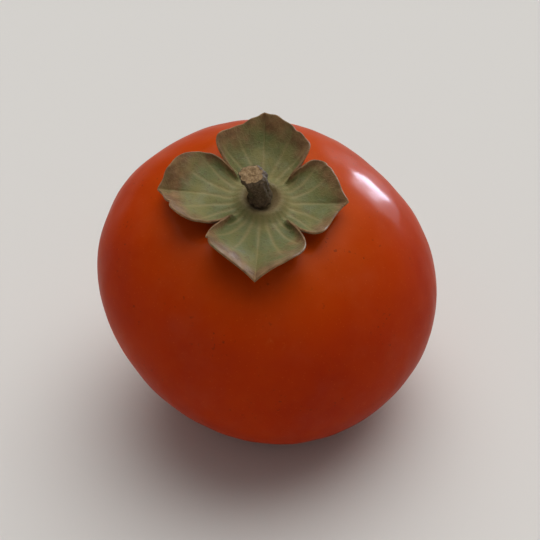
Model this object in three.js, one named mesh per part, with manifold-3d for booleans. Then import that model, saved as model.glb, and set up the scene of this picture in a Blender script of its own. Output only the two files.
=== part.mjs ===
// A ripe kaki persimmon, whole, as picked: a slightly flattened globe that narrows a little to its far end.
// Its four-lobed calyx sits in the shallow hollow at the stem end, with a stub of woody stem standing on it,
// and the dry remnant of the flower is in a dimple at the far end.
// Units are millimetres and +Z is up. The origin is in the small flat spot that the fruit rests on.
import * as THREE from "three";
import { ParametricGeometry } from "three/addons/geometries/ParametricGeometry.js";
import { mergeVertices } from "three/addons/utils/BufferGeometryUtils.js";
import Module from "manifold-3d";

const wasm = await Module();
wasm.setup();

const TURN = 2 * Math.PI;
const QUARTER = TURN / 4;
const DEG = Math.PI / 180;

// Fruit body, in the fruit's own frame: +Z towards the stem end, origin in the middle.
const RADIUS = 40;
const HALF_HEIGHT = 34.2;
const SQUARING = 0.01; // share of the third harmonic that fills the profile out from a plain ellipse
const TAPER = 0.045; // how much wider the stem half is than the middle
const BASIN = { depth: 4.4, radius: 12 }; // the hollow that the calyx sits in
const DIMPLE = { depth: 2, radius: 4.5 }; // the dimple at the far end
const FURROW = { depth: 0.55, width: 16 * DEG }; // four faint furrows that start between the sepals
const FOUR_SIDED = 0.3; // departure of the section from round towards a rounded square
const FULL_FLANK = { by: 0.6, towards: -25 * DEG }; // one flank is fuller than the opposite one
const SLANT = 0.145; // fall of the whole fruit towards +X, for each mm out from its axis

// How the fruit lies: its stem end leans over, and the skin is pressed flat where it rests.
const LEAN = { angle: 16 * DEG, towards: -100 * DEG };
const FLAT_SPOT_DEPTH = 1.4;

// Calyx: a sheet laid over the shoulders, with its outline drawn flat in millimetres from the fruit's axis.
const CALYX_TURN = -3 * DEG; // direction of the first sepal
const SEPAL_THICKNESS = 0.9;
const CALYX_CLEARANCE = 0.4; // between the skin and the calyx
const DISC_RADIUS = 7; // the middle that the sepals spread from
const CUSHION = { radius: 4.6, width: 1.5, rim: 1.7, seat: 0.5 }; // raised ring on the disc, hollow inside
const NOTCH = 5.7; // across and along, from the axis to the notch between two sepals
const NOTCH_PULL = new THREE.Vector2(14.8, 14.2); // handle of the margin's curve at the notch
const TIP_PULL = new THREE.Vector2(-5.7, 5.5); // handle of the margin's curve at the tip, from the tip
const NOTCH_LIFT = 1.6; // the calyx is pleated up at each notch
const CURL = 4; // the higher, the closer to its margin a sepal curls up
const RIPPLES = 2.5; // waves along a sepal's margin
const SEPALS = [
  { length: 17.5, tipLift: 1.1, flankLift: [1.5, 2.3], ripple: 0.7, phase: 0.4 },
  { length: 18.5, tipLift: 3.8, flankLift: [2.7, 1.8], ripple: 0.9, phase: 2.1 },
  { length: 21.5, tipLift: 1.5, flankLift: [1.7, 3.0], ripple: 0.8, phase: 3.9 },
  { length: 21.0, tipLift: 3.4, flankLift: [2.9, 2.1], ripple: 0.9, phase: 5.2 },
];

// Stub of stem, standing on the disc.
const STEM = { length: 9, foot: 2.7, waist: 2.2, head: 2.8, bend: 1.6, bendTowards: 200 * DEG };

// Dry remnant of the style, hanging in the dimple.
const STYLE = { length: 1.1, radius: 1.1 };

const SEAT_GAP = 0.3; // between the stem or the style and what it grows from
const WELD = 1e-3; // vertices closer than this are one
const SKIN_GRID = [56, 34]; // slices round, rows from pole to pole
const CALYX_GRID = [72, 14]; // slices round, rows from the middle to the margin
const STEM_SIDES = 16;
const STYLE_SIDES = 10;
const DISC_ROWS = 5 / CALYX_GRID[1]; // share of those rows that lie in the disc

const bump = (x) => Math.exp(-x * x);
const mix = THREE.MathUtils.lerp;

// A point of the skin: polar runs from 0 at the stem end to PI at the far end, and turn goes round the axis.
function skinPoint(polar, turn, target) {
  const sine = Math.sin(polar);
  const cosine = Math.cos(polar);
  const upper = Math.max(0, cosine);
  const section = turn - CALYX_TURN;
  const fromFurrow = section - QUARTER / 2 - QUARTER * Math.round(section / QUARTER - 0.5);
  const globe = (RADIUS * (1 + TAPER * cosine) * (sine + SQUARING * Math.sin(3 * polar))) / (1 - SQUARING);
  const swell = FOUR_SIDED * Math.cos(4 * section) + FULL_FLANK.by * Math.cos(turn - FULL_FLANK.towards);
  const furrow = FURROW.depth * 2 * sine * upper * bump(fromFurrow / FURROW.width);
  const radius = globe + sine * sine * swell - furrow;
  const crown = (HALF_HEIGHT * (cosine - SQUARING * Math.cos(3 * polar))) / (1 - SQUARING);
  const fall = SLANT * radius * Math.cos(turn);
  const basin = cosine > 0 ? BASIN.depth * bump(radius / BASIN.radius) : 0;
  const dimple = cosine < 0 ? DIMPLE.depth * bump(radius / DIMPLE.radius) : 0;
  return target.set(radius * Math.cos(turn), radius * Math.sin(turn), crown - fall - basin + dimple);
}

// A point at a height over the skin, above the flat pattern's point (x, y).
function overSkin(x, y, height, target) {
  const polar = Math.hypot(x, y) / (RADIUS * (1 + TAPER));
  skinPoint(polar, Math.atan2(y, x), target);
  const outwards = new THREE.Vector3(
    target.x / RADIUS ** 2,
    target.y / RADIUS ** 2,
    target.z / HALF_HEIGHT ** 2,
  );
  return target.addScaledVector(outwards.normalize(), height);
}

// The calyx's middle surface: around goes through the four sepals, outwards from the axis to the margin.
function calyxPoint(around, outwards, target) {
  const lobe = Math.min(Math.floor(around * SEPALS.length), SEPALS.length - 1);
  const sepal = SEPALS[lobe];
  const side = 2 * (around * SEPALS.length - lobe) - 1; // -1 and 1 at the notches, 0 at the sepal's tip
  const spread = Math.max(0, (outwards - DISC_ROWS) / (1 - DISC_ROWS));
  const margin = new THREE.CubicBezierCurve(
    new THREE.Vector2(sepal.length, 0),
    new THREE.Vector2(sepal.length, 0).add(TIP_PULL),
    NOTCH_PULL,
    new THREE.Vector2(NOTCH, NOTCH),
  ).getPoint(Math.abs(side));
  const discRadius = DISC_RADIUS * Math.min(1, outwards / DISC_ROWS);
  const discTurn = (side * QUARTER) / 2;
  const flat = new THREE.Vector2(
    mix(discRadius * Math.cos(discTurn), margin.x, spread),
    mix(discRadius * Math.sin(discTurn), margin.y * Math.sign(side), spread),
  ).rotateAround(new THREE.Vector2(), CALYX_TURN + lobe * QUARTER);

  // The tip, the flanks and the rippled margin curl up off the skin. All of it dies away at the notches.
  const tip = sepal.tipLift * Math.cos((side * Math.PI) / 2) ** 2;
  const flank = sepal.flankLift[side < 0 ? 0 : 1] * Math.sin(Math.PI * Math.abs(side));
  const ripple = sepal.ripple * (1 + Math.sin(RIPPLES * Math.PI * side + sepal.phase)) * (1 - side ** 4);
  const lift = NOTCH_LIFT * side ** 2 * spread ** 2 + (tip + flank + ripple) * spread ** CURL;
  return overSkin(flat.x, flat.y, CALYX_CLEARANCE + SEPAL_THICKNESS / 2 + lift, target);
}

// Height of the cushion on the disc: a ring round a hollow seat.
function cushionHeight(radius) {
  const inside = radius < CUSHION.radius ? CUSHION.seat : 0;
  return mix(inside, CUSHION.rim, bump((radius - CUSHION.radius) / CUSHION.width));
}

// The geometry with positions alone, its seam and poles merged, without the triangles that vanish there.
function welded(geometry) {
  geometry.deleteAttribute("normal");
  geometry.deleteAttribute("uv");
  const merged = mergeVertices(geometry, WELD);
  const corners = Array.from(merged.index.array);
  const whole = [];
  for (let i = 0; i < corners.length; i += 3) {
    const [a, b, c] = corners.slice(i, i + 3);
    if (a !== b && b !== c && c !== a) whole.push(a, b, c);
  }
  return merged.setIndex(whole);
}

// A closed blade from a sheet: the same triangles above and below, with a wall round the free edge.
function thickened(sheet, above, below) {
  sheet.computeVertexNormals();
  const { position, normal } = sheet.attributes;
  const count = position.count;
  const vertices = new Float32Array(count * 6);
  const point = new THREE.Vector3();
  const outwards = new THREE.Vector3();
  for (let i = 0; i < count; i++) {
    point.fromBufferAttribute(position, i);
    outwards.fromBufferAttribute(normal, i);
    point.clone().addScaledVector(outwards, above(point)).toArray(vertices, 3 * i);
    point.clone().addScaledVector(outwards, -below).toArray(vertices, 3 * (count + i));
  }
  const faces = [];
  const freeEdges = new Map();
  const corners = Array.from(sheet.index.array);
  for (let i = 0; i < corners.length; i += 3) {
    const [a, b, c] = corners.slice(i, i + 3);
    faces.push(a, b, c, c + count, b + count, a + count);
    for (const [from, to] of [[a, b], [b, c], [c, a]]) {
      if (!freeEdges.delete(`${to} ${from}`)) freeEdges.set(`${from} ${to}`, [from, to]);
    }
  }
  for (const [from, to] of freeEdges.values()) {
    faces.push(to, from, from + count, to, from + count, to + count);
  }
  return new THREE.BufferGeometry()
    .setAttribute("position", new THREE.BufferAttribute(vertices, 3))
    .setIndex(faces);
}

// A closed geometry as a manifold-3d solid.
function solidOf(geometry) {
  const vertProperties = geometry.attributes.position.array;
  const triVerts = new Uint32Array(geometry.index.array);
  return new wasm.Manifold(new wasm.Mesh({ numProp: 3, vertProperties, triVerts }));
}

// A manifold-3d solid as a geometry.
function geometryOf(solid) {
  const mesh = solid.getMesh();
  return new THREE.BufferGeometry()
    .setAttribute("position", new THREE.BufferAttribute(mesh.vertProperties, 3))
    .setIndex(new THREE.BufferAttribute(mesh.triVerts, 1));
}

// A turned shape that stands on the XY plane: its profile is [radius, share of the length] from axis to axis.
function turned(profile, length, sides) {
  const points = profile.map(([radius, share]) => new THREE.Vector2(radius, share * length));
  return new THREE.LatheGeometry(points, sides).rotateX(Math.PI / 2);
}

// How the fruit lies. The slanted and leaned globe is a unit ball put through one matrix, and the point of
// the ball that comes lowest is opposite that matrix's row for height. It is laid under the origin.
function resting() {
  const slant = new THREE.Matrix4();
  slant.elements[2] = -SLANT;
  const axle = new THREE.Vector3(-Math.sin(LEAN.towards), Math.cos(LEAN.towards), 0);
  const lying = new THREE.Group();
  lying.quaternion.setFromAxisAngle(axle, LEAN.angle);
  const fromBall = new THREE.Matrix4()
    .makeRotationFromQuaternion(lying.quaternion)
    .multiply(slant)
    .scale(new THREE.Vector3(RADIUS, RADIUS, HALF_HEIGHT));
  const [, , acrossX, , , , acrossY, , , , upwards] = fromBall.elements;
  const highest = new THREE.Vector3(acrossX, acrossY, upwards).normalize();
  lying.position.copy(highest).applyMatrix4(fromBall);
  lying.position.z -= FLAT_SPOT_DEPTH;
  return lying;
}

// Flesh and skin in one solid. The flat spot is cut on the ground plane, with the fruit already lying.
function fruit(lying) {
  const skin = (u, v, target) => skinPoint(v * Math.PI, -u * TURN, target);
  const globe = welded(new ParametricGeometry(skin, ...SKIN_GRID));
  const depth = 4 * RADIUS;
  const ground = welded(new THREE.BoxGeometry(depth, depth, depth).translate(0, 0, -depth / 2));
  lying.updateMatrix();
  const body = solidOf(globe.applyMatrix4(lying.matrix)).subtract(solidOf(ground));
  const skinLook = new THREE.MeshStandardMaterial({ color: 0xc4500f, roughness: 0.32, metalness: 0 });
  return new THREE.Mesh(geometryOf(body), skinLook);
}

// The four sepals and the disc they are grown together in.
function calyx() {
  const blades = (u, v, target) => calyxPoint(1 - u, v, target);
  const sheet = welded(new ParametricGeometry(blades, ...CALYX_GRID));
  const above = (point) => SEPAL_THICKNESS / 2 + cushionHeight(Math.hypot(point.x, point.y));
  const leafLook = new THREE.MeshStandardMaterial({ color: 0x6f6a3c, roughness: 0.75, metalness: 0 });
  return new THREE.Mesh(thickened(sheet, above, SEPAL_THICKNESS / 2), leafLook);
}

// The stub of stem, bent a little towards its cut end. It clears the side that the slant raises.
function stem() {
  const { length, foot, waist, head, bend, bendTowards } = STEM;
  const profile = [
    [0, 0], [foot * 0.92, 0], [foot, 0.06], [waist * 1.04, 0.22], [waist, 0.45], [waist * 1.03, 0.66],
    [head, 0.82], [head * 1.02, 0.92], [head * 0.9, 1], [0, 1],
  ];
  const geometry = turned(profile, length, STEM_SIDES);
  const { position } = geometry.attributes;
  for (let i = 0; i < position.count; i++) {
    const shift = bend * (position.getZ(i) / length) ** 2;
    position.setX(i, position.getX(i) + shift * Math.cos(bendTowards));
    position.setY(i, position.getY(i) + shift * Math.sin(bendTowards));
  }
  const cushionTop = CALYX_CLEARANCE + SEPAL_THICKNESS + cushionHeight(foot);
  const raisedSide = overSkin(-foot, 0, cushionTop, new THREE.Vector3());
  const woodLook = new THREE.MeshStandardMaterial({ color: 0x5b4630, roughness: 0.85, metalness: 0 });
  const mesh = new THREE.Mesh(geometry, woodLook);
  mesh.position.z = raisedSide.z + SEAT_GAP;
  return mesh;
}

// The dry remnant of the style, pointing out of the dimple. It clears the side that the slant lowers.
function style() {
  const { length, radius } = STYLE;
  const profile = [[0, 0], [radius, 0], [radius * 0.8, 0.35], [radius * 0.3, 0.8], [0, 1]];
  const geometry = turned(profile, length, STYLE_SIDES).rotateX(Math.PI);
  const loweredSide = skinPoint(Math.PI - radius / RADIUS, 0, new THREE.Vector3());
  const dryLook = new THREE.MeshStandardMaterial({ color: 0x2a1a12, roughness: 0.9, metalness: 0 });
  const mesh = new THREE.Mesh(geometry, dryLook);
  mesh.position.z = loweredSide.z - SEAT_GAP;
  return mesh;
}

function named(name, mesh) {
  mesh.name = name;
  return mesh;
}

const persimmon = new THREE.Group();
const lying = resting();
lying.add(named("calyx", calyx()), named("stem", stem()), named("stigma_tip", style()));
persimmon.add(named("fruit", fruit(lying)), lying);

export default persimmon;
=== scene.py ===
import math

import bpy
import numpy as np
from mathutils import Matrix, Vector


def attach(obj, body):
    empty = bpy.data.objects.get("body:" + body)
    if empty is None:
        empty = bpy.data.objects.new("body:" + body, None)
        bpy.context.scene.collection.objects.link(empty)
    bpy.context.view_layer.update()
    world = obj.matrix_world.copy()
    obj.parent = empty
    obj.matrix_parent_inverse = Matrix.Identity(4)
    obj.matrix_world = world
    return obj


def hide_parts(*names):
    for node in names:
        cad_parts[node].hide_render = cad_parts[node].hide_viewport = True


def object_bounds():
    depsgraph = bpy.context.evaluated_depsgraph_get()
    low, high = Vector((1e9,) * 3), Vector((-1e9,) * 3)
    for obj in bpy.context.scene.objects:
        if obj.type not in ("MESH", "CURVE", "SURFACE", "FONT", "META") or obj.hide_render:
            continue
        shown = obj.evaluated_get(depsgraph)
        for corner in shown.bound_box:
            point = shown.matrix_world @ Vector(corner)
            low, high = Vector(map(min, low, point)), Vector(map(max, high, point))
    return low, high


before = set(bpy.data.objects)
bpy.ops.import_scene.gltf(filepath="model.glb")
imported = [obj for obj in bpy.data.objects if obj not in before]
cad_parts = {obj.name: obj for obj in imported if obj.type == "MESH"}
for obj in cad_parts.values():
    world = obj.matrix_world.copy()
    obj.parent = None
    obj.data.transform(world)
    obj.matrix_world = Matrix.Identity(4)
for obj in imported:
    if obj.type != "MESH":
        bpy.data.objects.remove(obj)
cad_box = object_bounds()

MM = 0.001
TURN = 2 * math.pi
QUARTER = TURN / 4

# Fruit body.
RADIUS = 40.0
HALF_HEIGHT = 34.2
SQUARING = 0.01  # fills the profile out from a plain ellipse
TAPER = 0.045  # how much wider the stem half is than the middle
BASIN_DEPTH, BASIN_RADIUS = 4.4, 12.0  # the hollow that the calyx sits in
DIMPLE_DEPTH, DIMPLE_RADIUS = 2.0, 4.5  # the hollow at the far end
FURROW_DEPTH, FURROW_WIDTH = 0.55, math.radians(16)
FOUR_SIDED = 0.3  # departure of the section from round towards a rounded square
FULL_FLANK, FULL_FLANK_TOWARDS = 0.6, math.radians(-25)  # one flank is fuller than the one opposite
SLANT = 0.145  # fall of the whole fruit towards +X, for each mm out from its axis
FRUIT_ROWS, FRUIT_COLUMNS = 220, 320

# Unevenness: height in mm, size of a wave in mm and seed.
WAVES = 9
WAVE_LENGTHS = (0.7, 1.5)  # the shortest and the longest wave, for a size of 1
DENTS, DENT_SIZE, DENT_SEED = 0.10, 24.0, 5
SMALL_DENTS, SMALL_DENT_SIZE, SMALL_DENT_SEED = 0.45 * DENTS, DENT_SIZE / 3, 8
CRINKLE, CRINKLE_SIZE, CRINKLE_SEED = 0.22, 3.5, 3  # the calyx's dry wrinkles near its margin
RIDGE, RIDGE_SIZE, RIDGE_SEED = 0.16, 1.6, 21  # along the bark
FINE_RIDGE, FINE_RIDGE_SIZE, FINE_RIDGE_SEED = 0.08, 0.7, 22
ROUGH_CUT, ROUGH_CUT_SIZE, ROUGH_CUT_SEED = 0.25, 2.0, 23  # the stem's cut end

# How the fruit lies.
LEAN, LEAN_TOWARDS = math.radians(16), math.radians(-100)
FLAT_SPOT_DEPTH = 1.4
PRESSED_EDGE = 0.12  # roundness of the flat spot's rim

# Calyx. A sepal is drawn flat with its tip on +X; its side runs from -1 at one notch to 1 at the next.
CALYX_TURN = math.radians(-3)
CALYX_CLEARANCE = 0.4  # between the skin and the calyx
SHEET_HEIGHT = 0.45  # of the calyx's middle surface over its underside
DISC_RADIUS = 7.0  # the middle that the sepals spread from
CUSHION_RADIUS, CUSHION_WIDTH = 4.6, 1.5  # the ring round the stem's foot
CUSHION_RIM, CUSHION_SEAT = 1.7, 0.5  # heights of the ring and of the seat inside it
NOTCH = 5.7  # both coordinates of the notch
NOTCH_PULL = (14.8, 14.2)  # the curve's handle at the notch
TIP_PULL = (-5.7, 5.5)  # the curve's handle at the tip, measured from the tip
NOTCH_LIFT = 1.6  # the calyx stands off the skin at each notch
CURL = 4  # the higher, the closer to its margin a sepal curls up
RIPPLES = 2.5  # half waves in one unit of side
SEPALS = [
    dict(length=17.5, tip_lift=1.1, flank_lift=(1.5, 2.3), ripple=0.7, phase=0.4, nick=0.46),
    dict(length=18.5, tip_lift=3.8, flank_lift=(2.7, 1.8), ripple=0.9, phase=2.1, nick=-0.38),
    dict(length=21.5, tip_lift=1.5, flank_lift=(1.7, 3.0), ripple=0.8, phase=3.9, nick=0.3),
    dict(length=21.0, tip_lift=3.4, flank_lift=(2.9, 2.1), ripple=0.9, phase=5.2, nick=-0.55),
]
NICK_DEPTH, NICK_WIDTH = 0.05, 0.035  # share of the way from the disc to the margin, units of side
NICK_REACH = 8  # the higher, the closer to the margin a nick stays
BLADE = (0.9, 0.5)  # thickness of a sepal at the disc and at its margin
VEINS = (-0.86, -0.6, -0.31, 0.0, 0.31, 0.6, 0.86)  # side of a sepal that each main vein runs along
VEIN_DEPTH = 0.16
VEIN_SHALLOWING = 0.5  # share of the depth that is lost on the way to the margin
VEIN_WIDTH = (0.5, 0.22)  # at the disc and at the margin
VEIN_SWAY, VEIN_BENDS = 0.06, 5  # share of the vein's side, radians on the way to the margin
DISC_ROWS, BLADE_ROWS, CALYX_COLUMNS = 18, 56, 4 * 96
CROWDING = 1.3  # the higher, the closer together the rows near the margin
EDGE_SWING = np.radians([60, 30, 0, -30, -60])  # round the margin, from the upper face to the lower

# Stem stub.
STEM_LENGTH, STEM_FOOT, STEM_WAIST, STEM_HEAD = 9.0, 2.7, 2.2, 2.8
STEM_PROFILE = [  # share of the length, radius
    (0, STEM_FOOT * 0.92),
    (0, STEM_FOOT * 0.97),
    (0.06, STEM_FOOT),
    (0.22, STEM_WAIST * 1.04),
    (0.45, STEM_WAIST),
    (0.66, STEM_WAIST * 1.03),
    (0.82, STEM_HEAD),
    (0.92, STEM_HEAD * 1.02),
    (1.0, STEM_HEAD * 0.9),
]
STEM_BEND, STEM_BEND_TOWARDS = 1.6, math.radians(200)
GRAIN_RADIUS = 3  # of the plain cylinder that the ridges are worked out on
GRAIN_STRETCH, FINE_GRAIN_SHORTENING = 4, 3  # ridges are drawn out along the stem, the fine ones less
KNOT_RISE, KNOT_AT, KNOT_TOWARDS = 0.55, 0.62 * STEM_LENGTH, 4.2
KNOT_HEIGHT, KNOT_WIDTH = 0.9, 0.45  # millimetres, radians
STEM_ROWS, CAP_ROWS, STEM_COLUMNS = 90, 14, 96
SEAT_GAP = 0.3  # between the stem or the style and what it stands on

# Dry style.
STYLE_LENGTH, STYLE_RADIUS = 1.1, 1.1
STYLE_PROFILE = [(0, 0.9), (0.15, 1), (0.45, 0.72), (0.85, 0.26), (1, 0.1)]  # share of length, of radius
STYLE_LOBES, STYLE_LOBE_DEPTH = 4, 0.12
STYLE_ROWS, STYLE_COLUMNS = 40, 48

# Colours in linear light.
SKIN = dict(
    ripe=(0.445, 0.043, 0.0015, 1),
    riper=(0.365, 0.026, 0.001, 1),
    mottle=(0.49, 0.060, 0.002, 1),
    shoulder=(0.55, 0.10, 0.005, 1),
    far_end=(0.36, 0.035, 0.004, 1),
    pore=(0.70, 0.17, 0.03, 1),
    scuff=(0.66, 0.24, 0.10, 1),
    grime=(0.09, 0.025, 0.01, 1),
    bloom=(0.72, 0.40, 0.30, 1),
)
LEAF = dict(
    green=(0.135, 0.150, 0.048, 1),
    olive=(0.22, 0.20, 0.072, 1),
    fleck=(0.12, 0.07, 0.03, 1),
    dark_brown=(0.17, 0.085, 0.032, 1),
    brown=(0.28, 0.16, 0.07, 1),
    vein=(0.33, 0.27, 0.12, 1),
    heart=(0.20, 0.13, 0.06, 1),
    net=(0.28, 0.24, 0.10, 1),
)
STALK = dict(
    bark=(0.065, 0.042, 0.024, 1),
    pale_bark=(0.19, 0.135, 0.085, 1),
    lichen=(0.11, 0.10, 0.055, 1),
    wood=(0.36, 0.25, 0.13, 1),
    dark_wood=(0.22, 0.14, 0.07, 1),
)
CRUST = dict(dark=(0.018, 0.010, 0.006, 1), pale=(0.075, 0.042, 0.022, 1))

# Stage, in metres.
FLOOR_REACH = 20.0
FLOOR_COLOUR = (0.70, 0.69, 0.675, 1)
SURROUND_COLOUR = (1.0, 0.985, 0.965, 1)
HORIZON_LIGHT, UPPER_LIGHT = 0.66, 0.25
FADED_AT = 0.5  # height on the unit sphere from which the surround has its upper light
GLOW_LIGHT, GLOW_TOWARDS = 2.7, (0.15, 0.40, 0.90)
GLOW_EDGE = 0.70  # cosine of the angle between the glow's middle and its edge
CAMERA_ELEVATION, CAMERA_DISTANCE, CAMERA_LENS = math.radians(40), 0.26, 72
EXPOSURE = -0.22


def bump(x):
    """A Gaussian: 1 at 0 and next to nothing past 2."""
    return np.exp(-np.square(x))


def mix(a, b, share):
    return a + (b - a) * share


def wander(points, size, seed):
    """Smooth unevenness, mostly between -1 and 1: plane waves about size long, in seeded directions."""
    draw = np.random.default_rng(seed)
    heading = draw.normal(size=(3, WAVES))
    heading /= np.linalg.norm(heading, axis=0)
    pace = TURN / (size * draw.uniform(*WAVE_LENGTHS, WAVES))
    phase = draw.uniform(0, TURN, WAVES)
    return np.cos(points @ (heading * pace) + phase).sum(axis=-1) / math.sqrt(WAVES)


def all_round(columns):
    """Angles in equal steps once round, as a row."""
    return np.arange(columns)[None, :] * TURN / columns


def skin_point(polar, turn):
    """A globe flattened along its axis: polar runs from 0 at the stem end to pi, turn goes round. The stem
    half is wider, one flank is fuller, four faint furrows start between the sepals, a Gaussian hollow is
    sunk at each pole, and every height falls with the distance out towards +X."""
    sine, cosine = np.sin(polar), np.cos(polar)
    upper = np.maximum(cosine, 0)
    section = turn - CALYX_TURN
    from_furrow = section - QUARTER / 2 - QUARTER * np.round(section / QUARTER - 0.5)
    globe = RADIUS * (1 + TAPER * cosine) * (sine + SQUARING * np.sin(3 * polar)) / (1 - SQUARING)
    swell = FOUR_SIDED * np.cos(4 * section) + FULL_FLANK * np.cos(turn - FULL_FLANK_TOWARDS)
    furrow = FURROW_DEPTH * 2 * sine * upper * bump(from_furrow / FURROW_WIDTH)
    radius = globe + sine**2 * swell - furrow
    crown = HALF_HEIGHT * (cosine - SQUARING * np.cos(3 * polar)) / (1 - SQUARING)
    fall = SLANT * radius * np.cos(turn)
    basin = np.where(cosine > 0, BASIN_DEPTH * bump(radius / BASIN_RADIUS), 0)
    dimple = np.where(cosine < 0, DIMPLE_DEPTH * bump(radius / DIMPLE_RADIUS), 0)
    height = crown - fall - basin + dimple
    return np.stack([radius * np.cos(turn), radius * np.sin(turn), height], axis=-1)


def outwards_of(points):
    """Unit normals of the plain ellipsoid at these points: each coordinate over its semi-axis squared."""
    normal = points / np.array([RADIUS, RADIUS, HALF_HEIGHT]) ** 2
    return normal / np.linalg.norm(normal, axis=-1, keepdims=True)


def over_skin(x, y, height):
    """The skin's point under the flat pattern's point (x, y), raised by height along the outward normal."""
    points = skin_point(np.hypot(x, y) / (RADIUS * (1 + TAPER)), np.arctan2(y, x))
    return points + outwards_of(points) * np.asarray(height)[..., None]


def lying(points):
    """Leans the fruit over and sets it down. The turn is Rodrigues' matrix about the level axle square to
    the lean: I + sin K + (1 - cos) K K. The globe is a unit ball put through size, slant and turn, so its
    lowest point is opposite that product's row for height. It goes to the origin, sunk by the flat spot's
    depth."""
    axle = np.array([-math.sin(LEAN_TOWARDS), math.cos(LEAN_TOWARDS), 0])
    spin = np.cross(np.eye(3), axle)
    turn = np.eye(3) + math.sin(LEAN) * spin + (1 - math.cos(LEAN)) * spin @ spin
    slant = np.eye(3)
    slant[2, 0] = -SLANT
    from_ball = turn @ slant @ np.diag([RADIUS, RADIUS, HALF_HEIGHT])
    highest = from_ball[2] / np.linalg.norm(from_ball[2])
    return points @ turn.T + from_ball @ highest - [0, 0, FLAT_SPOT_DEPTH]


def surface_normals(grid):
    """Unit normals of a grid whose columns close on themselves: the cross product of its two slopes."""
    down = np.gradient(grid, axis=0)
    round_ = np.roll(grid, -1, axis=1) - np.roll(grid, 1, axis=1)
    normal = np.cross(down, round_)
    return normal / np.linalg.norm(normal, axis=-1, keepdims=True)


def closed_surface(name, rings, first, last, attributes=None):
    """A skin closed at both ends: rings of points from the first pole to the last, quads between
    neighbouring rings and a fan of triangles at each pole. Attributes are one number a point, as a grid
    like the rings."""
    rows, columns = rings.shape[:2]
    points = np.concatenate([[first], rings.reshape(-1, 3), [last]]) * MM
    here = np.arange(rows * columns).reshape(rows, columns) + 1
    beside = np.roll(here, -1, axis=1)
    quads = np.stack([here[:-1], here[1:], beside[1:], beside[:-1]], axis=-1).reshape(-1, 4)
    end = rows * columns + 1
    top = np.stack([np.zeros(columns, int), here[0], beside[0]], axis=-1)
    bottom = np.stack([np.full(columns, end), beside[-1], here[-1]], axis=-1)
    mesh = bpy.data.meshes.new(name)
    mesh.from_pydata(points.tolist(), [], quads.tolist() + top.tolist() + bottom.tolist())
    for word, grid in (attributes or {}).items():
        values = np.concatenate([[grid[0].mean()], grid.reshape(-1), [grid[-1].mean()]])
        mesh.attributes.new(word, "FLOAT", "POINT").data.foreach_set("value", values.astype(np.float32))
    mesh.shade_smooth()
    mesh.update()
    piece = bpy.data.objects.new(name, mesh)
    bpy.context.scene.collection.objects.link(piece)
    return piece


def stands_for(piece, node, material):
    """The piece takes the node's place on the one body, with its material."""
    piece.data.materials.append(material)
    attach(piece, "root")
    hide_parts(node)


# ---- Materials ------------------------------------------------------------------------------------------


class Shader:
    """A Principled material and short ways to add nodes to it. Sizes and depths are in millimetres."""

    def __init__(self, name):
        self.material = bpy.data.materials.new(name)
        self.material.use_nodes = True
        self.tree = self.material.node_tree
        self.surface = self.tree.nodes["Principled BSDF"]
        self.place = self.node("ShaderNodeTexCoord").outputs["Object"]

    def node(self, kind, inputs=None, **settings):
        made = self.tree.nodes.new(kind)
        for key, value in settings.items():
            setattr(made, key, value)
        for key, value in (inputs or {}).items():
            self.set(made.inputs[key], value)
        return made

    def set(self, socket, value):
        """Links another node's output to the socket, or puts a plain value on it."""
        if isinstance(value, bpy.types.NodeSocket):
            self.tree.links.new(value, socket)
        else:
            socket.default_value = value

    def finish(self, **inputs):
        """Sets the surface's own sockets, written with underscores for spaces."""
        for key, value in inputs.items():
            self.set(self.surface.inputs[key.replace("_", " ")], value)
        return self.material

    def stretched(self, x, y, z):
        """The object's coordinates scaled along each axis."""
        made = self.node("ShaderNodeVectorMath", {0: self.place, 1: (x, y, z)}, operation="MULTIPLY")
        return made.outputs[0]

    def attribute(self, name):
        return self.node("ShaderNodeAttribute", attribute_name=name).outputs["Fac"]

    def noise(self, size, detail=2.0, rough=0.5, place=None, warp=0.0):
        """Noise between 0 and 1 whose blotches are about size across."""
        made = self.node(
            "ShaderNodeTexNoise",
            {"Vector": place or self.place, "Scale": 1 / (size * MM), "Detail": detail,
             "Roughness": rough, "Distortion": warp},
        )
        return made.outputs["Fac"]

    def cells(self, size, feature="F1"):
        """Distance to the nearest of scattered points about size apart, or to the edge between cells."""
        inputs = {"Vector": self.place, "Scale": 1 / (size * MM)}
        return self.node("ShaderNodeTexVoronoi", inputs, feature=feature).outputs["Distance"]

    def math(self, operation, first, second):
        return self.node("ShaderNodeMath", {0: first, 1: second}, operation=operation).outputs[0]

    def ramp(self, value, low, high, start=0.0, end=1.0):
        """The value's run from low to high as a smooth run from start to end."""
        made = self.node(
            "ShaderNodeMapRange",
            {"Value": value, "From Min": low, "From Max": high, "To Min": start, "To Max": end},
            interpolation_type="SMOOTHSTEP",
        )
        return made.outputs["Result"]

    def blend(self, share, first, second):
        """The first colour where share is 0, the second where it is 1."""
        made = self.node("ShaderNodeMix", data_type="RGBA")
        for socket, value in ((made.inputs[0], share), (made.inputs[6], first), (made.inputs[7], second)):
            self.set(socket, value)
        return made.outputs[2]

    def bumps(self, height, depth, under=None):
        """Relief of that depth where height is 1, on top of the relief under it."""
        inputs = {"Height": height, "Distance": depth * MM, "Strength": 1.0}
        if under is not None:
            inputs["Normal"] = under
        return self.node("ShaderNodeBump", inputs).outputs["Normal"]


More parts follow.
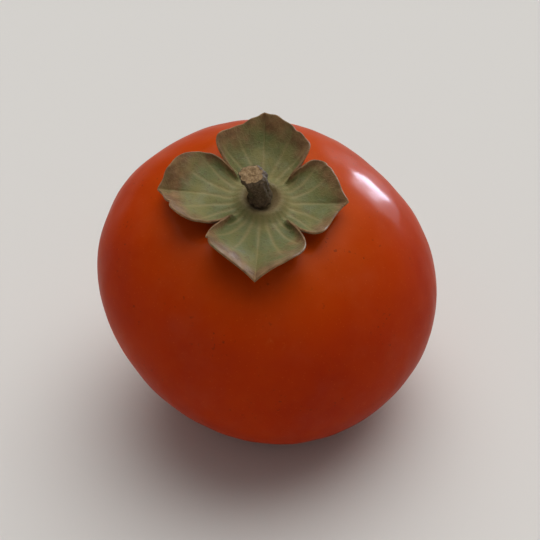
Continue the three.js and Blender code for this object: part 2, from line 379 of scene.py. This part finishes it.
def skin_material():
    """Ripe kaki skin: orange-red that runs redder in blotches, yellower under the calyx and darker at the
    far end, with a thin wax bloom, pale pin-prick pores, faint pale scuffs and a few clusters of grime."""
    s = Shader("kaki_skin")
    polar = s.attribute("polar")
    blotch = s.ramp(s.noise(size=34), 0.3, 0.7)
    colour = s.blend(blotch, SKIN["ripe"], SKIN["riper"])
    mottle = s.ramp(s.noise(size=4.5, detail=4, rough=0.6), 0.35, 0.75, end=0.25)
    colour = s.blend(mottle, colour, SKIN["mottle"])
    shoulder = s.ramp(polar, 0.10, 0.34, start=0.6, end=0.0)
    colour = s.blend(shoulder, colour, SKIN["shoulder"])
    far_end = s.ramp(polar, 0.86, 1.0, end=0.35)
    colour = s.blend(far_end, colour, SKIN["far_end"])
    pores = s.ramp(s.cells(size=1.1), 0.05, 0.16, start=0.25, end=0.0)
    colour = s.blend(pores, colour, SKIN["pore"])
    streaks = s.noise(size=2.4, detail=3, rough=0.6, place=s.stretched(1, 0.6, 0.4), warp=0.6)
    scuffed = s.ramp(s.noise(size=13, detail=1), 0.54, 0.70)
    scuffs = s.math("MULTIPLY", s.ramp(streaks, 0.62, 0.78), scuffed)
    colour = s.blend(s.math("MULTIPLY", scuffs, 0.10), colour, SKIN["scuff"])
    specks = s.ramp(s.noise(size=0.8), 0.64, 0.72)
    grime = s.math("MULTIPLY", specks, s.ramp(s.noise(size=9), 0.54, 0.66))
    colour = s.blend(s.math("MULTIPLY", grime, 0.55), colour, SKIN["grime"])
    bloom = s.ramp(s.noise(size=16, detail=5, rough=0.62), 0.42, 0.78, end=0.045)
    colour = s.blend(bloom, colour, SKIN["bloom"])
    rough = s.ramp(s.noise(size=7, detail=4, rough=0.6), 0.3, 0.7, start=0.32, end=0.40)
    relief = s.bumps(s.noise(size=2.2, detail=3), depth=0.03)
    relief = s.bumps(pores, depth=-0.012, under=relief)
    return s.finish(
        Base_Color=colour, Roughness=rough, Normal=relief, IOR=1.4, Specular_IOR_Level=0.02,
        Subsurface_Weight=0.18, Subsurface_Radius=(1.0, 0.32, 0.08), Subsurface_Scale=4 * MM,
        Coat_Weight=0.13, Coat_Roughness=0.15,
    )


def calyx_material():
    """A leathery sepal that is drying: olive with brown flecks, paler along the veins and a fine net,
    browner at its heart, and dry brown at margins and tips."""
    s = Shader("kaki_calyx")
    spread, vein = s.attribute("spread"), s.attribute("vein")
    olive = s.ramp(s.noise(size=6, detail=4, rough=0.6), 0.35, 0.7)
    green = s.blend(olive, LEAF["green"], LEAF["olive"])
    fleck = s.ramp(s.noise(size=1.3, detail=3, rough=0.7), 0.56, 0.72, end=0.6)
    green = s.blend(fleck, green, LEAF["fleck"])
    patches = s.math("MULTIPLY", s.math("SUBTRACT", s.noise(size=5, detail=4), 0.5), 0.9)
    dryness = s.math("ADD", spread, patches)
    brown = s.blend(s.ramp(s.noise(size=2, detail=4), 0.3, 0.7), LEAF["dark_brown"], LEAF["brown"])
    colour = s.blend(s.ramp(dryness, 0.62, 1.02), green, brown)
    colour = s.blend(s.math("MULTIPLY", vein, 0.55), colour, LEAF["vein"])
    heart = s.ramp(spread, -0.55, -0.1, start=0.8, end=0.0)
    colour = s.blend(heart, colour, LEAF["heart"])
    net = s.ramp(s.cells(size=1.1, feature="DISTANCE_TO_EDGE"), 0.0, 0.14, start=1.0, end=0.0)
    colour = s.blend(s.math("MULTIPLY", net, 0.13), colour, LEAF["net"])
    rough = s.ramp(s.noise(size=3, detail=3), 0.3, 0.7, start=0.52, end=0.78)
    relief = s.bumps(net, depth=0.03)
    relief = s.bumps(s.noise(size=0.6, detail=4, rough=0.7), depth=0.07, under=relief)
    relief = s.bumps(s.noise(size=3.2, detail=3, rough=0.55), depth=0.22, under=relief)
    return s.finish(Base_Color=colour, Roughness=rough, Normal=relief, Sheen_Weight=0.12)


def stem_material():
    """Rough grey-brown bark with lichen in patches, and a paler, blotchy cut end."""
    s = Shader("kaki_stem")
    grain = s.noise(size=0.5, detail=4, rough=0.7)
    bark = s.blend(s.ramp(grain, 0.3, 0.7), STALK["bark"], STALK["pale_bark"])
    lichen = s.ramp(s.noise(size=2.5, detail=3), 0.45, 0.7, end=0.6)
    bark = s.blend(lichen, bark, STALK["lichen"])
    wood = s.blend(s.ramp(s.noise(size=0.35, detail=3), 0.3, 0.7), STALK["wood"], STALK["dark_wood"])
    colour = s.blend(s.attribute("cut"), bark, wood)
    return s.finish(Base_Color=colour, Roughness=0.8, Normal=s.bumps(grain, depth=0.18))


def style_material():
    """Dry, nearly black remnant of the flower."""
    s = Shader("kaki_style")
    grain = s.noise(size=0.3, detail=4, rough=0.7)
    colour = s.blend(s.ramp(grain, 0.3, 0.7), CRUST["dark"], CRUST["pale"])
    return s.finish(Base_Color=colour, Roughness=0.85, Normal=s.bumps(grain, depth=0.1))


# ---- Pieces ---------------------------------------------------------------------------------------------


def settled(points):
    """Points of the skin with faint dents, laid down and pressed flat at the ground: a height z becomes
    half of the sum of z and the root of z squared plus the rim's roundness squared."""
    dents = DENTS * wander(points, DENT_SIZE, DENT_SEED)
    small_dents = SMALL_DENTS * wander(points, SMALL_DENT_SIZE, SMALL_DENT_SEED)
    laid = lying(points + outwards_of(points) * (dents + small_dents)[..., None])
    laid[..., 2] = (laid[..., 2] + np.hypot(laid[..., 2], PRESSED_EDGE)) / 2
    return laid


def make_fruit():
    """The skin's formula on a grid, settled on the ground."""
    polar = (np.arange(FRUIT_ROWS) + 0.5)[:, None] * math.pi / FRUIT_ROWS
    polar, turn = np.broadcast_arrays(polar, all_round(FRUIT_COLUMNS))
    rings = settled(skin_point(polar, turn))
    poles = settled(skin_point(np.array([0.0, math.pi]), np.zeros(2)))
    piece = closed_surface("kaki_fruit", rings, poles[0], poles[1], {"polar": polar / math.pi})
    stands_for(piece, "fruit", skin_material())


def cushion_height(radius):
    """A Gaussian ring over a hollow seat."""
    inside = np.where(radius < CUSHION_RADIUS, CUSHION_SEAT, 0)
    return mix(inside, CUSHION_RIM, bump((radius - CUSHION_RADIUS) / CUSHION_WIDTH))


def sepal_margin(length, along):
    """A sepal's margin, drawn flat: a cubic Bezier curve from the tip, where along is 0, to the notch."""
    weights = ((1 - along) ** 3, 3 * (1 - along) ** 2 * along, 3 * (1 - along) * along**2, along**3)
    handles_x = (length, length + TIP_PULL[0], NOTCH_PULL[0], NOTCH)
    handles_y = (0, TIP_PULL[1], NOTCH_PULL[1], NOTCH)
    x = sum(weight * handle for weight, handle in zip(weights, handles_x))
    y = sum(weight * handle for weight, handle in zip(weights, handles_y))
    return x, y


def calyx_sheet(around, outwards):
    """The calyx's middle surface. Around runs through the sepals in turn, and outwards is below 0 in the
    disc and 0 to 1 from the disc to the margin. Straight lines fan out from the disc's rim to each sepal's
    margin, which has one small nick. Tip, flanks, ripples and dry wrinkles lift it off the skin."""
    lobe = np.floor(around * len(SEPALS)).astype(int) % len(SEPALS)
    side = 2 * (around * len(SEPALS) - np.floor(around * len(SEPALS))) - 1
    along = np.abs(side)
    spread = np.maximum(outwards, 0)

    def of_sepal(word):
        return np.array([sepal[word] for sepal in SEPALS])[lobe]

    margin_x, margin_y = sepal_margin(of_sepal("length"), along)
    nicked = 1 - NICK_DEPTH * bump((side - of_sepal("nick")) / NICK_WIDTH) * spread**NICK_REACH
    disc = DISC_RADIUS * np.minimum(1, 1 + outwards)
    flat_x = mix(disc * np.cos(side * QUARTER / 2), margin_x, spread * nicked)
    flat_y = mix(disc * np.sin(side * QUARTER / 2), margin_y * np.sign(side), spread * nicked)

    tip = of_sepal("tip_lift") * np.cos(side * math.pi / 2) ** 2
    flank = np.where(side < 0, of_sepal("flank_lift")[..., 0], of_sepal("flank_lift")[..., 1])
    flank = flank * np.sin(math.pi * along)
    ripple = of_sepal("ripple") * (1 + np.sin(RIPPLES * math.pi * side + of_sepal("phase"))) * (1 - side**4)
    lift = NOTCH_LIFT * side**2 * spread**2 + (tip + flank + ripple) * spread**CURL

    turn = CALYX_TURN + lobe * QUARTER
    x = flat_x * np.cos(turn) - flat_y * np.sin(turn)
    y = flat_x * np.sin(turn) + flat_y * np.cos(turn)
    unevenness = wander(np.stack([x, y, 0 * x], axis=-1), CRINKLE_SIZE, CRINKLE_SEED)
    crinkle = CRINKLE * spread**2 * (1 + unevenness)
    return over_skin(x, y, CALYX_CLEARANCE + SHEET_HEIGHT + lift + crinkle), side, spread


def vein_strength(middle, side, spread, outwards):
    """1 along the main veins and 0 between them: Gaussians across lines of nearly equal side, which narrow
    and sway a little on the way out. They die away at the margin and towards the middle of the disc."""
    step = np.linalg.norm(np.roll(middle, -1, axis=1) - middle, axis=-1)
    across = step * CALYX_COLUMNS / (2 * len(SEPALS))  # millimetres for each unit of side
    width = mix(*VEIN_WIDTH, spread)
    sway = 1 - VEIN_SWAY * np.sin(VEIN_BENDS * spread)
    vein = sum(bump((side - line * sway) * across / width) for line in VEINS)
    return np.clip(vein, 0, 1) * (1 - spread**6) * np.clip(outwards + 1, 0, 1) ** 2


def make_calyx():
    """The middle surface given a thickness that thins to the margin, a cushion in the middle, sunken veins
    and a rounded edge: the margin's ring swung half round its own middle."""
    disc = (np.arange(DISC_ROWS) + 1) / (DISC_ROWS + 1) - 1
    blade = 1 - (1 - np.arange(BLADE_ROWS + 1) / BLADE_ROWS) ** CROWDING
    outwards = np.concatenate([disc, blade])[:, None]
    around = np.arange(CALYX_COLUMNS)[None, :] / CALYX_COLUMNS
    around, outwards = np.broadcast_arrays(around, outwards)
    middle, side, spread = calyx_sheet(around, outwards)
    normal = surface_normals(middle)
    vein = vein_strength(middle, side, spread, outwards)

    thick = mix(*BLADE, spread**2)
    radius = np.hypot(middle[..., 0], middle[..., 1])
    above = thick / 2 + cushion_height(radius) - VEIN_DEPTH * vein * (1 - VEIN_SHALLOWING * spread)
    top = middle + normal * above[..., None]
    bottom = middle - normal * (thick / 2)[..., None]
    outermost = middle[-1] - middle[-2]
    outermost /= np.linalg.norm(outermost, axis=-1, keepdims=True)
    swing = EDGE_SWING[:, None, None]
    half = thick[-1][:, None] / 2
    edge = middle[-1] + half * (outermost * np.cos(swing) + normal[-1] * np.sin(swing))

    rings = np.concatenate([top, edge, bottom[::-1]])
    centre = over_skin(np.zeros(1), np.zeros(1), CALYX_CLEARANCE + SHEET_HEIGHT)[0]
    first = centre + [0, 0, BLADE[0] / 2 + CUSHION_SEAT]
    last = centre - [0, 0, BLADE[0] / 2]

    def on_both_sides(grid):
        return np.concatenate([grid, np.repeat(grid[-1:], len(edge), axis=0), grid[::-1]])

    marks = {"spread": on_both_sides(np.where(outwards < 0, outwards, spread)), "vein": on_both_sides(vein)}
    piece = closed_surface("kaki_calyx", lying(rings), lying(first), lying(last), marks)
    stands_for(piece, "calyx", calyx_material())


def stem_profile():
    """Four columns, from the middle of the cut end out to its rim, down the bark and in under the foot:
    radius, height, 1 on the cut end and 0 elsewhere, and the share of the bark's relief."""
    shares, radii = np.array(STEM_PROFILE).T
    stations = np.arange(len(STEM_PROFILE))
    path = np.linspace(1, 0, STEM_ROWS) * (len(STEM_PROFILE) - 1)
    cap = (np.arange(CAP_ROWS) + 1) / (CAP_ROWS + 1)
    foot = cap[::-1]
    radius = np.concatenate([cap * radii[-1], np.interp(path, stations, radii), foot * radii[0]])
    side = np.interp(path, stations, shares * STEM_LENGTH)
    height = np.concatenate([np.full(CAP_ROWS, STEM_LENGTH), side, np.zeros(CAP_ROWS)])
    cut = np.concatenate([np.ones(CAP_ROWS), np.zeros(STEM_ROWS + CAP_ROWS)])
    barked = np.concatenate([cap**4, np.ones(STEM_ROWS), foot**2])
    return radius[:, None], height[:, None], cut[:, None], barked[:, None]


def make_stem():
    """The stem's profile carried up a bent axis, with lengthwise ridges, one knot and a rough cut end."""
    radius, height, cut, barked = stem_profile()
    turn = all_round(STEM_COLUMNS)
    grain_x, grain_y = np.cos(turn) * GRAIN_RADIUS, np.sin(turn) * GRAIN_RADIUS
    grain = np.stack(np.broadcast_arrays(grain_x, grain_y, height / GRAIN_STRETCH), axis=-1)
    fine_grain = grain * [1, 1, FINE_GRAIN_SHORTENING]
    ridges = RIDGE * wander(grain, RIDGE_SIZE, RIDGE_SEED)
    fine_ridges = FINE_RIDGE * wander(fine_grain, FINE_RIDGE_SIZE, FINE_RIDGE_SEED)
    knot = KNOT_RISE * bump((height - KNOT_AT) / KNOT_HEIGHT) * bump((turn - KNOT_TOWARDS) / KNOT_WIDTH)
    wide = radius + (ridges + fine_ridges + knot) * barked
    on_cut = grain * (radius / STEM_HEAD)[..., None]
    rough = ROUGH_CUT * cut * wander(on_cut, ROUGH_CUT_SIZE, ROUGH_CUT_SEED) * (1 - barked)
    bend = STEM_BEND * (height / STEM_LENGTH) ** 2
    x = wide * np.cos(turn) + bend * math.cos(STEM_BEND_TOWARDS)
    y = wide * np.sin(turn) + bend * math.sin(STEM_BEND_TOWARDS)
    cushion_top = CALYX_CLEARANCE + 2 * SHEET_HEIGHT + cushion_height(STEM_FOOT)
    seat = over_skin(np.array([-STEM_FOOT]), np.zeros(1), cushion_top)[0, 2] + SEAT_GAP
    rings = np.stack([x, y, seat + height + rough], axis=-1)
    first, last = rings[0].mean(axis=0), rings[-1].mean(axis=0)
    marks = {"cut": np.broadcast_to(cut, x.shape)}
    piece = closed_surface("kaki_stem", lying(rings), lying(first), lying(last), marks)
    stands_for(piece, "stem", stem_material())


def make_style():
    """A small cone on the far pole with four blunt lobes, which fade towards its tip."""
    share = np.linspace(0, 1, STYLE_ROWS)[:, None]
    turn = all_round(STYLE_COLUMNS)
    profile = np.interp(share, *np.array(STYLE_PROFILE).T)
    radius = STYLE_RADIUS * profile * (1 + STYLE_LOBE_DEPTH * np.cos(STYLE_LOBES * turn) * (1 - share))
    seat = skin_point(np.array([math.pi - STYLE_RADIUS / RADIUS]), np.zeros(1))[0, 2] - SEAT_GAP
    depth = seat - share * STYLE_LENGTH
    rings = np.stack(np.broadcast_arrays(radius * np.cos(turn), radius * np.sin(turn), depth), axis=-1)
    first = np.array([0, 0, seat])
    last = np.array([0, 0, seat - STYLE_LENGTH])
    piece = closed_surface("kaki_style", lying(rings), lying(first), lying(last))
    stands_for(piece, "stigma_tip", style_material())


# ---- Stage ----------------------------------------------------------------------------------------------


def make_floor():
    """A pale matt floor."""
    reach = FLOOR_REACH
    mesh = bpy.data.meshes.new("floor")
    corners = [(-reach, -reach, 0), (reach, -reach, 0), (reach, reach, 0), (-reach, reach, 0)]
    mesh.from_pydata(corners, [], [(0, 1, 2, 3)])
    floor = bpy.data.objects.new("floor", mesh)
    bpy.context.scene.collection.objects.link(floor)
    s = Shader("pale_floor")
    mesh.materials.append(s.finish(Base_Color=FLOOR_COLOUR, Roughness=1.0, Specular_IOR_Level=0.0))


def make_surround():
    """A pale surround that darkens smoothly from the horizon up, with a wide soft glow overhead and a
    little to the back: the more a direction agrees with the glow's own, the brighter."""
    world = bpy.data.worlds.new("surround")
    world.use_nodes = True
    nodes, links = world.node_tree.nodes, world.node_tree.links

    def smooth(value, **ends):
        """The value through a smooth step between the ends given."""
        made = nodes.new("ShaderNodeMapRange")
        made.interpolation_type = "SMOOTHSTEP"
        links.new(value, made.inputs["Value"])
        for word, end in ends.items():
            made.inputs[word.replace("_", " ")].default_value = end
        return made.outputs["Result"]

    heading = nodes.new("ShaderNodeTexCoord").outputs["Generated"]
    parts = nodes.new("ShaderNodeSeparateXYZ")
    links.new(heading, parts.inputs[0])
    fade = smooth(parts.outputs["Z"], From_Max=FADED_AT, To_Min=HORIZON_LIGHT, To_Max=UPPER_LIGHT)
    agreement = nodes.new("ShaderNodeVectorMath")
    agreement.operation = "DOT_PRODUCT"
    links.new(heading, agreement.inputs[0])
    agreement.inputs[1].default_value = Vector(GLOW_TOWARDS).normalized()
    glow = smooth(agreement.outputs["Value"], From_Min=GLOW_EDGE, To_Max=GLOW_LIGHT)
    total = nodes.new("ShaderNodeMath")
    total.operation = "ADD"
    links.new(fade, total.inputs[0])
    links.new(glow, total.inputs[1])
    links.new(total.outputs[0], nodes["Background"].inputs["Strength"])
    nodes["Background"].inputs["Color"].default_value = SURROUND_COLOUR
    bpy.context.scene.world = world


def softbox(name, aim, place, width, height, power, tint):
    """A soft oval light that faces a point. It shows in gloss and lights nothing by diffusion."""
    light = bpy.data.lights.new(name, "AREA")
    light.shape = "ELLIPSE"
    light.size, light.size_y = width, height
    light.energy = power
    light.color = tint
    made = bpy.data.objects.new(name, light)
    made.location = place
    made.rotation_mode = "QUATERNION"
    facing = np.array(aim) - np.array(place)
    made.rotation_quaternion = Vector(facing).to_track_quat("-Z", "Y")
    made.visible_diffuse = False
    bpy.context.scene.collection.objects.link(made)


def make_lights(aim):
    """A low window at the back right for the shoulder's highlight, and a dimmer, wider one round it."""
    softbox("shoulder_window", aim, place=(0.763, 1.08, 0.300), width=0.30, height=0.36, power=16.5,
            tint=(0.66, 0.80, 1))
    softbox("shoulder_veil", aim, place=(0.87, 0.99, 0.29), width=0.56, height=0.60, power=4.2,
            tint=(0.72, 0.85, 1))


def make_camera(aim):
    """Looks down on the fruit from the front."""
    camera = bpy.data.objects.new("camera", bpy.data.cameras.new("camera"))
    camera.data.lens = CAMERA_LENS
    camera.data.clip_start = 0.01
    back = np.array([0, -math.cos(CAMERA_ELEVATION), math.sin(CAMERA_ELEVATION)])
    camera.location = np.array(aim) + back * CAMERA_DISTANCE
    camera.rotation_euler = (math.pi / 2 - CAMERA_ELEVATION, 0, 0)
    bpy.context.scene.collection.objects.link(camera)
    bpy.context.scene.camera = camera


def set_view():
    """Plain colours with a little more contrast, exposed so that the pale floor isn't white."""
    view = bpy.context.scene.view_settings
    view.view_transform = "Standard"
    view.look = "Medium High Contrast"
    view.exposure = EXPOSURE


make_fruit()
make_calyx()
make_stem()
make_style()
make_floor()
make_surround()
middle = ((np.array(cad_box[0]) + np.array(cad_box[1])) / 2).tolist()
make_lights(middle)
make_camera(middle)
set_view()
